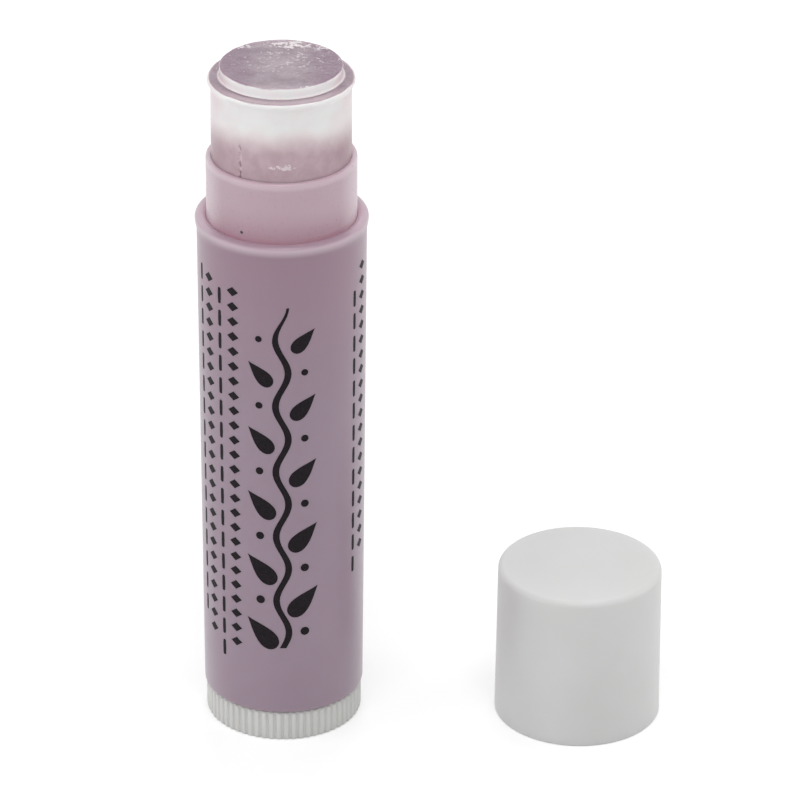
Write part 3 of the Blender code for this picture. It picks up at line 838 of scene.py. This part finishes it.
def make_barrel(finish):
    """The tapered sleeve with its rolled lip, and a floor with a bearing hole."""
    corners = [
        (BEARING_RADIUS, BARREL_FOOT_Z, 0.1),
        (BARREL_FOOT_RADIUS, BARREL_FOOT_Z, 0.22),
        (BARREL_TOP_RADIUS, LIP_FOOT_Z, 0.5),
        (LIP_RADIUS, LIP_FOOT_Z + 0.75, 0.35),
        (LIP_RADIUS, BARREL_TOP_Z, LIP_ROUNDING),
        (BARREL_BORE, BARREL_TOP_Z, LIP_INNER_ROUNDING),
        (BARREL_BORE, BARREL_FLOOR_Z, 0.0),
        (BEARING_RADIUS, BARREL_FLOOR_Z, 0.1),
    ]
    shape = section(corners)
    cut_fine(shape, 6.0, BARREL_FOOT_Z + 0.1, LIP_FOOT_Z)
    return piece("barrel", turned(shape), finish, "barrel", ["outer_sleeve"])


def make_neck(finish):
    """The thin inner tube with its rounded rim, and the three ribs that guide the gel up its bore."""
    corners = [
        (TUBE_BORE, TUBE_FOOT_Z, 0.0),
        (TUBE_RADIUS, TUBE_FOOT_Z, 0.1),
        (TUBE_RADIUS, MOUTH_Z, RIM_OUTER_ROUNDING),
        (TUBE_BORE, MOUTH_Z, RIM_INNER_ROUNDING),
    ]
    shape = section(corners)
    cut_fine(shape, 2.4, BARREL_TOP_Z - 2.0, MOUTH_Z)
    tube = turned(shape)
    root = TUBE_BORE + 0.25
    ribs = upright_bars(RIB_ANGLES, RIB_TIP_RADIUS, root, RIB_WIDTH, TUBE_FOOT_Z + 0.4, RIB_TOP_Z)
    bevelled(ribs, ribs.edges[:], RIB_EDGE)
    return piece("neck_tube", joined([tube, ribs]), finish, "barrel", ["inner_tube"])


def groove_depth(angle, height, point):
    """How far the guide ribs have cut into the gel's side at a place."""
    ends = soft_step(height, GROOVE_END_Z + 0.15, GROOVE_END_Z - 0.35)
    for rib in RIB_ANGLES:
        away = abs(math.remainder(angle - rib, math.tau)) * GEL_RADIUS
        if away < GROOVE_HALF_WIDTH:
            beads = 0.62 + ripple(point, *GROOVE_RIPPLE)
            across = 1.0 - soft_step(away, 0.3 * GROOVE_HALF_WIDTH, GROOVE_HALF_WIDTH)
            return GROOVE_DEPTH * across * ends * max(0.15, beads)
    return 0.0


def settle_top(vert):
    """Make the gel's plateau uneven, with a curl of shaved gel near its back, and set it back."""
    point = vert.co.copy()
    lift = sum(ripple(point, *row) for row in TOP_RIPPLES) - TOP_SETTLED
    curl = math.hypot((point.x - CURL_PLACE[0]) * 0.55, point.y - CURL_PLACE[1])
    lift += CURL_HEIGHT * soft_step(curl, 1.6, 0.3) * (0.7 + ripple(point, *CURL_RIPPLE))
    edge = soft_step(math.hypot(point.x, point.y), PLATEAU_RADIUS, PLATEAU_RADIUS - 1.0)
    vert.co.z = min(vert.co.z + lift * edge, GEL_HIGHEST)
    vert.co.y += PLATEAU_BACK


def settle_side(vert, radius):
    """Make the gel's side and ledge uneven, cut the ribs' grooves, and set the plateau's wall back."""
    point = vert.co.copy()
    head = soft_step(point.z, FLANGE_FOOT_Z, LEDGE_Z)
    push = sum(ripple(point, side + more * head, *hump) for side, more, *hump in SIDE_RIPPLES)
    push -= groove_depth(math.atan2(point.y, point.x), point.z, point)
    scale = (radius + push) / radius
    vert.co.x *= scale
    vert.co.y *= scale
    vert.co.z += head * ripple(point, *LEDGE_RIPPLE)
    if point.z > LEDGE_Z - 0.01 and radius < PLATEAU_RADIUS + 0.1:
        vert.co.y += PLATEAU_BACK


def settle_gel(mesh):
    """Give the turned gel its cast and rubbed surface. Its foot and its bore stay plain."""
    for vert in mesh.verts:
        radius = math.hypot(vert.co.x, vert.co.y)
        height = vert.co.z
        if height > PLATEAU_Z - 0.02 and radius < PLATEAU_RADIUS - 0.2:
            settle_top(vert)
        elif height > LEDGE_Z - 0.01 or (radius > GEL_FOOT_RADIUS + 0.3 and height >= GEL_SHOULDER_Z + 0.2):
            settle_side(vert, radius)


def make_gel(finish):
    """The cast gel stick: a stepped and flanged head, a long side, and a foot set in the carrier."""
    corners = [
        (0.0, GEL_BORE_END_Z + 0.6, 0.0),
        (GEL_BORE_RADIUS, GEL_BORE_END_Z, 0.0),
        (GEL_BORE_RADIUS, HUB_ROOM_Z, 0.0),
        (HUB_ROOM_RADIUS, HUB_ROOM_Z, 0.0),
        (HUB_ROOM_RADIUS, GEL_FOOT_Z, 0.0),
        (GEL_FOOT_RADIUS, GEL_FOOT_Z, 0.0),
        (GEL_FOOT_RADIUS, GEL_SHOULDER_Z, 0.0),
        (GEL_RADIUS, GEL_SHOULDER_Z, 0.2),
        (GEL_RADIUS, FLANGE_FOOT_Z, 0.3),
        (FLANGE_RADIUS, LEDGE_Z - 0.36, 0.14),
        (FLANGE_RADIUS, LEDGE_Z, 0.2),
        (PLATEAU_RADIUS, LEDGE_Z, 0.32),
        (PLATEAU_RADIUS, PLATEAU_Z, 0.2),
        (0.0, PLATEAU_Z, 0.0),
    ]
    shape = section(corners, closed=False)
    cut_fine(shape, 0.45, GEL_SHOULDER_Z + 0.1, FLANGE_FOOT_Z)
    cut_fine(shape, 0.24, LEDGE_Z - 0.4, PLATEAU_Z + 0.01)
    start = math.degrees(RIB_ANGLES[0]) - 3.0
    mesh = turned(shape, [(6.0, 14), (114.0, 58)] * 3)
    turn = Matrix.Rotation(math.radians(start), 3, "Z")
    bmesh.ops.rotate(mesh, matrix=turn, verts=mesh.verts[:])
    settle_gel(mesh)
    slots = upright_bars(
        [angle + math.pi / 3 for angle in RIB_ANGLES],
        HUB_ROOM_RADIUS - SUNK,
        GEL_FOOT_RADIUS + SUNK,
        FIN_THICKNESS + 0.3,
        GEL_FOOT_Z - 0.4,
        FIN_TOP_Z + 0.3,
    )
    return piece("gel_stick_cast", cut_out(mesh, slots), finish, "carriage", ["gel_stick"])


def rib_reach(angle):
    """How far out the knob's side stands at an angle, from 0 in a valley to 1 on a rib's crest."""
    share = (angle / math.tau * KNOB_RIBS) % 1.0
    return soft_step(share, 0.0, 0.2) * soft_step(share, 0.78, 0.58)


def socket_reach(angle):
    """The hexagonal socket's reach at an angle. One of its corners is on the Y axis."""
    off_flat = math.remainder(angle - math.pi / 3, math.pi / 3)
    return SOCKET_RADIUS * math.cos(math.pi / 6) / math.cos(off_flat)


def widen(mesh, ring, height, reach):
    """Extrude a ring of edges to a new height, where its points stand off the axis as reach tells."""
    grown = bmesh.ops.extrude_edge_only(mesh, edges=ring)["geom"]
    ring = [item for item in grown if isinstance(item, bmesh.types.BMEdge) and item.is_boundary]
    for vert in {vert for edge in ring for vert in edge.verts}:
        turn = math.atan2(vert.co.y, vert.co.x)
        vert.co = (reach(turn) * math.cos(turn), reach(turn) * math.sin(turn), height)
    return ring


def make_knob(finish):
    """The ribbed twist knob, with a cored underside and a hexagonal socket for the screw's shank."""
    boss = KNOB_BOSS_RADIUS
    rim = KNOB_RIM_RADIUS
    levels = [
        (boss - KNOB_RIM_SLOPE, 0.0, 0.0),
        (boss - 0.06, 0.1, 0.0),
        (boss, 0.24, 0.0),
        (boss, KNOB_CORING - 0.12, 0.0),
        (boss + 0.12, KNOB_CORING, 0.0),
        (rim - KNOB_RIM_SLOPE - 0.12, KNOB_CORING, 0.0),
        (rim - KNOB_RIM_SLOPE, KNOB_CORING - 0.1, 0.0),
        (rim - 0.1, 0.1, 0.0),
        (rim + 0.1, 0.0, 0.0),
    ]
    levels += [(KNOB_RADIUS - inward, up, ribbed) for inward, up, ribbed in KNOB_FOOT_EDGE]
    levels += [(KNOB_RADIUS - inward, KNOB_HEIGHT - down, ribbed) for inward, down, ribbed in KNOB_TOP_EDGE]
    levels.append((SOCKET_RADIUS + 1.2, KNOB_HEIGHT, 0.0))
    mesh = bmesh.new()
    sides = KNOB_RIBS * 8
    bmesh.ops.create_circle(mesh, cap_ends=True, cap_tris=True, segments=sides, radius=levels[0][0])
    ring = [edge for edge in mesh.edges if edge.is_boundary]
    for radius, height, ribbed in levels[1:]:
        depth = ribbed * KNOB_RIB_DEPTH
        ring = widen(mesh, ring, height, lambda turn: radius - depth * (1 - rib_reach(turn)))
    ring = widen(mesh, ring, KNOB_HEIGHT, lambda turn: socket_reach(turn) + SOCKET_LEAD_IN)
    ring = widen(mesh, ring, KNOB_HEIGHT - 0.1, socket_reach)
    ring = widen(mesh, ring, SOCKET_FLOOR_Z, socket_reach)
    bmesh.ops.holes_fill(mesh, edges=ring, sides=0)
    closed_up(mesh)
    return piece("ribbed_knob", mesh, finish, "knob", ["twist_knob"])


def helix(corners, start_z, turns):
    """A thread's ridge: a section of (radius, height) corners wound left-handed from a height upwards."""
    mesh = bmesh.new()
    points = [mesh.verts.new((radius, 0.0, start_z + height)) for radius, height in corners]
    total = int(turns * THREAD_STEPS)
    angle = -math.tau * total / THREAD_STEPS
    spun(mesh, [mesh.faces.new(points)], angle, total, SCREW_LEAD / THREAD_STEPS)
    bmesh.ops.recalc_face_normals(mesh, faces=mesh.faces[:])
    return mesh


def make_screw(finish):
    """The lead screw: a hexagonal shank, a journal, a collar and a rod with a left-hand thread."""
    corners = [
        (0.0, JOURNAL_FOOT_Z, 0.0),
        (JOURNAL_RADIUS, JOURNAL_FOOT_Z, 0.12),
        (JOURNAL_RADIUS, COLLAR_FOOT_Z, 0.0),
        (COLLAR_RADIUS, COLLAR_FOOT_Z, 0.12),
        (COLLAR_RADIUS, COLLAR_TOP_Z, 0.12),
        (SCREW_ROOT, COLLAR_TOP_Z, 0.2),
        (SCREW_ROOT, SCREW_TOP_Z, 0.5),
        (0.0, SCREW_TOP_Z, 0.0),
    ]
    rod = turned(section(corners, closed=False), NARROW_TURN)
    shank = bmesh.new()
    shank_top_z = JOURNAL_FOOT_Z + 0.4
    bmesh.ops.create_cone(
        shank,
        cap_ends=True,
        segments=6,
        radius1=SHANK_RADIUS,
        radius2=SHANK_RADIUS,
        depth=shank_top_z - SHANK_FOOT_Z,
        matrix=Matrix.Translation((0.0, 0.0, (shank_top_z + SHANK_FOOT_Z) / 2)),
    )
    bevelled(shank, shank.edges[:], SHANK_EDGE)
    turns = (SCREW_TOP_Z - SCREW_TIP - SCREW_FOOT_Z) / SCREW_LEAD
    tooth = [
        (SCREW_ROOT - THREAD_SUNK, -THREAD_FOOT / 2),
        (SCREW_CREST, -THREAD_CREST / 2),
        (SCREW_CREST, THREAD_CREST / 2),
        (SCREW_ROOT - THREAD_SUNK, THREAD_FOOT / 2),
    ]
    thread = helix(tooth, SCREW_FOOT_Z, turns)
    return piece("lead_screw", joined([rod, shank, thread]), finish, "knob", ["spindle"])


def make_carrier(finish):
    """The elevator: a notched cup with keying fins and a threaded hub that rides up the lead screw."""
    bore = SCREW_CREST + NUT_CLEARANCE
    corners = [
        (bore, CARRIER_FOOT_Z, 0.15),
        (CARRIER_RADIUS, CARRIER_FOOT_Z, 0.15),
        (CARRIER_RADIUS, CARRIER_TOP_Z, 0.12),
        (CARRIER_BORE, CARRIER_TOP_Z, 0.12),
        (CARRIER_BORE, CARRIER_FLOOR_Z, 0.3),
        (HUB_RADIUS, CARRIER_FLOOR_Z, 0.3),
        (HUB_RADIUS, HUB_TOP_Z, 0.15),
        (bore, HUB_TOP_Z, 0.15),
    ]
    cup = turned(section(corners))
    notches = upright_bars(
        RIB_ANGLES,
        RIB_TIP_RADIUS - RIB_CLEARANCE,
        CARRIER_RADIUS + 0.5,
        RIB_WIDTH + 2 * RIB_CLEARANCE,
        CARRIER_FOOT_Z - 0.5,
        CARRIER_TOP_Z + 0.5,
    )
    fins = upright_bars(
        [angle + math.pi / 3 for angle in RIB_ANGLES],
        HUB_RADIUS - 0.4,
        CARRIER_BORE + SUNK,
        FIN_THICKNESS,
        CARRIER_FLOOR_Z - SUNK,
        FIN_TOP_Z,
    )
    root = bore + THREAD_SUNK
    tip = SCREW_ROOT + NUT_CLEARANCE
    groove = SCREW_LEAD - THREAD_CREST
    tooth = [
        (root, groove / 2 - NUT_FLANK),
        (tip, THREAD_ROOT / 2 - NUT_TIP),
        (tip, NUT_TIP - THREAD_ROOT / 2),
        (root, NUT_FLANK - groove / 2),
    ]
    pitches = round((CARRIER_FOOT_Z + 1.5 - SCREW_FOOT_Z) / SCREW_LEAD - 0.5) + 0.5
    thread = helix(tooth, SCREW_FOOT_Z + pitches * SCREW_LEAD, 1.0)
    whole = joined([cut_out(cup, notches), fins, thread])
    return piece("gel_carrier", whole, finish, "carriage", ["carrier_cup"])


def add_round(mesh, place, width, length, lean=0.0, sides=20, drop=False):
    """A flat mark round a place: a disc, a dash with round ends, a lozenge of 4 sides, or a drop."""
    made = bmesh.ops.create_circle(mesh, cap_ends=True, segments=sides, radius=1.0)["verts"]
    for vert in made:
        across, along = vert.co.x, vert.co.y
        if drop:
            across *= math.sin(math.acos(max(-1.0, min(1.0, along))) / 2) ** 1.4
            vert.co = (across * width / 2 * 1.25, along * length / 2, 0.0)
        elif sides == 4 or length <= width:
            vert.co = (across * width / 2, along * length / 2, 0.0)
        else:
            shift = math.copysign((length - width) / 2, along) if abs(along) > 0.001 else 0.0
            vert.co = (across * width / 2, along * width / 2 + shift, 0.0)
    turn = Matrix.Translation((*place, 0.0)) @ Matrix.Rotation(lean, 4, "Z")
    bmesh.ops.transform(mesh, matrix=turn, verts=made)


def add_stem(mesh, width, low, high, sway, wave):
    """A flat line that sways from side to side on its way up."""
    rows = int((high - low) / 0.5)
    made = bmesh.ops.create_grid(mesh, x_segments=1, y_segments=rows, size=0.5)["verts"]
    for vert in made:
        height = low + (vert.co.y + 0.5) * (high - low)
        taper = soft_step(height, high, high - STEM_TAPER) * 0.6 + 0.4
        across = vert.co.x * width * taper + sway * math.sin((height - low) / wave * math.tau)
        vert.co = (across, height, 0.0)


def flat_print():
    """A leafy stem and columns of small marks, laid out flat: X is round the barrel and Y is up it."""
    mesh = bmesh.new()
    add_stem(mesh, STEM_WIDTH, PRINT_LOW + 1.0, PRINT_HIGH - 2.0, STEM_SWAY, 2 * LEAF_SPACING)
    leaves = int((PRINT_HIGH - PRINT_LOW - 4.0) / LEAF_SPACING)
    for leaf in range(leaves):
        side = 1 if leaf % 2 else -1
        height = PRINT_LOW + 3.0 + leaf * LEAF_SPACING
        size = 1.0 - LEAF_SHRINK * leaf
        wide, tall = (length * size for length in LEAF_SIZE)
        add_round(mesh, (LEAF_OUT * side, height), wide, tall, -LEAF_LEAN * side, LEAF_SIDES, True)
        add_round(mesh, (-BUD_OUT * side, height + 0.2), BUD_SIZE * size, BUD_SIZE * size)
    for across, wide, tall, gap, sides, low, high in PRINT_COLUMNS:
        for mark in range(int((high - low) / gap)):
            add_round(mesh, (across, low + mark * gap), wide, tall, 0.0, sides)
    return mesh


def make_print(finish):
    """The print as thin raised ink: cut into upright strips, so that it can be wrapped round the barrel."""
    mesh = flat_print()
    for cut in range(-PRINT_STRIPS, PRINT_STRIPS + 1):
        bmesh.ops.bisect_plane(
            mesh,
            geom=mesh.verts[:] + mesh.edges[:] + mesh.faces[:],
            dist=0.00001,
            plane_co=(cut * PRINT_STRIP + PRINT_STRIP_SHIFT, 0.0, 0.0),
            plane_no=(1.0, 0.0, 0.0),
        )
    raised = bmesh.ops.extrude_face_region(mesh, geom=mesh.faces[:], use_keep_orig=True)["geom"]
    tops = {item for item in raised if isinstance(item, bmesh.types.BMVert)}
    for vert in mesh.verts:
        turn = math.radians(-90.0) + vert.co.x / PRINT_RADIUS
        reach = barrel_radius(vert.co.y) + (INK_PROUD if vert in tops else -INK_SUNK)
        vert.co = (reach * math.cos(turn), reach * math.sin(turn), vert.co.y)
    bmesh.ops.recalc_face_normals(mesh, faces=mesh.faces[:])
    return piece("printed_marks", mesh, finish, "barrel")


def make_seal(finish):
    """The soft washer keeps its CAD shape and takes a rubber skin."""
    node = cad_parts["seal_ring"]
    for slot in node.material_slots:
        slot.material = finish
    return node


def make_cap(finish):
    """The plain cap, mouth down: a wide bore over the neck, and a drafted one above it."""
    corners = [
        (0.0, CAP_CEILING_Z, 0.0),
        (CAP_TOP_BORE, CAP_CEILING_Z, 0.3),
        (CAP_TOP_BORE, CAP_STEP_Z + 0.3, 0.05),
        (CAP_BORE, CAP_STEP_Z, 0.05),
        (CAP_BORE, 0.0, 0.24),
        (CAP_MOUTH_RADIUS, 0.0, 0.2),
        (CAP_TOP_RADIUS, CAP_HEIGHT, 0.68),
        (0.0, CAP_HEIGHT, 0.0),
    ]
    shape = section(corners, closed=False)
    mesh = turned(shape)
    return piece("cap", mesh, finish, "cap", ["cap_shell"], CAP_PLACE)


def make_liner(finish):
    """The cap's soft disc, thinner round its edge."""
    corners = [
        (0.0, LINER_FOOT_Z, 0.0),
        (LINER_BEAD_RADIUS, LINER_FOOT_Z, 0.1),
        (LINER_BEAD_RADIUS + LINER_BEAD_SLOPE, LINER_EDGE_Z - 0.02, 0.08),
        (LINER_RADIUS, LINER_EDGE_Z, 0.1),
        (LINER_RADIUS, LINER_TOP_Z, 0.12),
        (0.0, LINER_TOP_Z, 0.0),
    ]
    shape = section(corners, closed=False)
    mesh = turned(shape, NARROW_TURN)
    return piece("cap_seal_disc", mesh, finish, "cap", ["cap_liner"], CAP_PLACE)


# Studio

CAMERA_PLACE = (0.005748, -0.5677, 0.3336)
CAMERA_TILT = math.radians(62.77)
CAMERA_LENS = 241.55
CAMERA_SHIFT = 0.0863
SENSOR_WIDTH = 36.0
WORLD_LIGHT = 0.55
FLOOR_SIZE = 2.5
FLOOR_TONE = 0.8
FLOOR_GLOW = 0.36
LIT_PLACE = (0.0, 0.0, 0.05)

# Softboxes: where each is, in metres, how wide and how tall it is, and its power
SOFTBOXES = {
    "front_softbox": ((0.0, -0.32, 0.76), 0.45, 0.3, 1.7),
    "left_softbox": ((-1.05, -0.22, 0.42), 0.65, 0.95, 2.0),
    "right_softbox": ((1.15, 0.15, 0.42), 0.65, 0.95, 1.85),
    "back_softbox": ((0.06, 0.5, 0.72), 0.3, 0.12, 0.8),
}


def by_ray(tree, shown, hidden, output):
    """End a tree with one shader for rays from the camera, off gloss or through glass, and one for others."""
    path = add_node(tree, "LightPath").outputs
    seen = maths(tree, "MAXIMUM", path["Is Camera Ray"], path["Is Glossy Ray"])
    seen = maths(tree, "MAXIMUM", seen, path["Is Transmission Ray"])
    either = add_node(tree, "MixShader", {0: seen, 1: hidden.outputs[0], 2: shown.outputs[0]})
    tree.links.new(either.outputs[0], add_node(tree, output).inputs["Surface"])


def white_light(tree, kind, strength):
    """A white backdrop or glow of some strength."""
    return add_node(tree, kind, {"Color": (1.0, 1.0, 1.0, 1.0), "Strength": strength})


def light_world():
    """A soft light from all round, which looks plain white."""
    world = bpy.data.worlds.new("studio")
    bpy.context.scene.world = world
    world.use_nodes = True
    tree = world.node_tree
    tree.nodes.clear()
    soft = white_light(tree, "Background", WORLD_LIGHT)
    white = white_light(tree, "Background", 1.0)
    by_ray(tree, white, soft, "OutputWorld")


def lay_floor():
    """A white floor that shows nothing but the shadows on it."""
    mesh = bmesh.new()
    bmesh.ops.create_grid(mesh, x_segments=1, y_segments=1, size=FLOOR_SIZE)
    floor = in_scene("studio_floor", as_data("studio_floor", mesh))
    finish = bpy.data.materials.new("floor_white")
    finish.use_nodes = True
    tree = finish.node_tree
    tree.nodes.clear()
    matt = add_node(tree, "BsdfDiffuse", {"Color": (FLOOR_TONE, FLOOR_TONE, FLOOR_TONE, 1.0)})
    glow = white_light(tree, "Emission", FLOOR_GLOW)
    both = add_node(tree, "AddShader", {0: matt.outputs[0], 1: glow.outputs[0]})
    by_ray(tree, both, matt, "OutputMaterial")
    floor.data.materials.append(finish)


def hang_light(name, place, width, height, power):
    """A softbox that lights the object from one side and isn't seen by the camera itself."""
    lamp = bpy.data.lights.new(name, "AREA")
    lamp.shape = "RECTANGLE"
    lamp.size = width
    lamp.size_y = height
    lamp.energy = power
    holder = in_scene(name, lamp)
    holder.location = place
    holder.rotation_euler = (Vector(LIT_PLACE) - Vector(place)).to_track_quat("-Z", "Y").to_euler()
    holder.visible_camera = False


def set_camera():
    """The camera that was fitted to the photo."""
    camera = bpy.data.cameras.new("camera")
    camera.lens = CAMERA_LENS
    camera.sensor_width = SENSOR_WIDTH
    camera.shift_x = CAMERA_SHIFT
    holder = in_scene("camera", camera)
    holder.location = CAMERA_PLACE
    holder.rotation_euler.x = CAMERA_TILT
    bpy.context.scene.camera = holder


def set_studio():
    """Floor, lights and camera."""
    bpy.context.scene.view_settings.view_transform = "Standard"
    light_world()
    lay_floor()
    for name, row in SOFTBOXES.items():
        hang_light(name, *row)
    set_camera()


def build():
    """Every piece, each with its finish."""
    make_barrel(sleeve_plastic())
    make_neck(tube_plastic())
    make_print(ink_finish())
    make_gel(gel_finish())
    white = white_plastic("white_plastic", [(221, 221, 219), (217, 217, 214)])
    make_knob(white)
    make_screw(white)
    make_carrier(white)
    make_seal(soft_finish("seal_rubber", [(92, 92, 95), (80, 80, 84)], 0.7, 0.12))
    make_cap(white_plastic("cap_plastic", [(223, 223, 223), (220, 220, 219)], CAP_PLACE))
    make_liner(soft_finish("liner_foam", [(214, 214, 210), (206, 206, 201)], 0.75, 0.16, CAP_PLACE))


build()
set_studio()
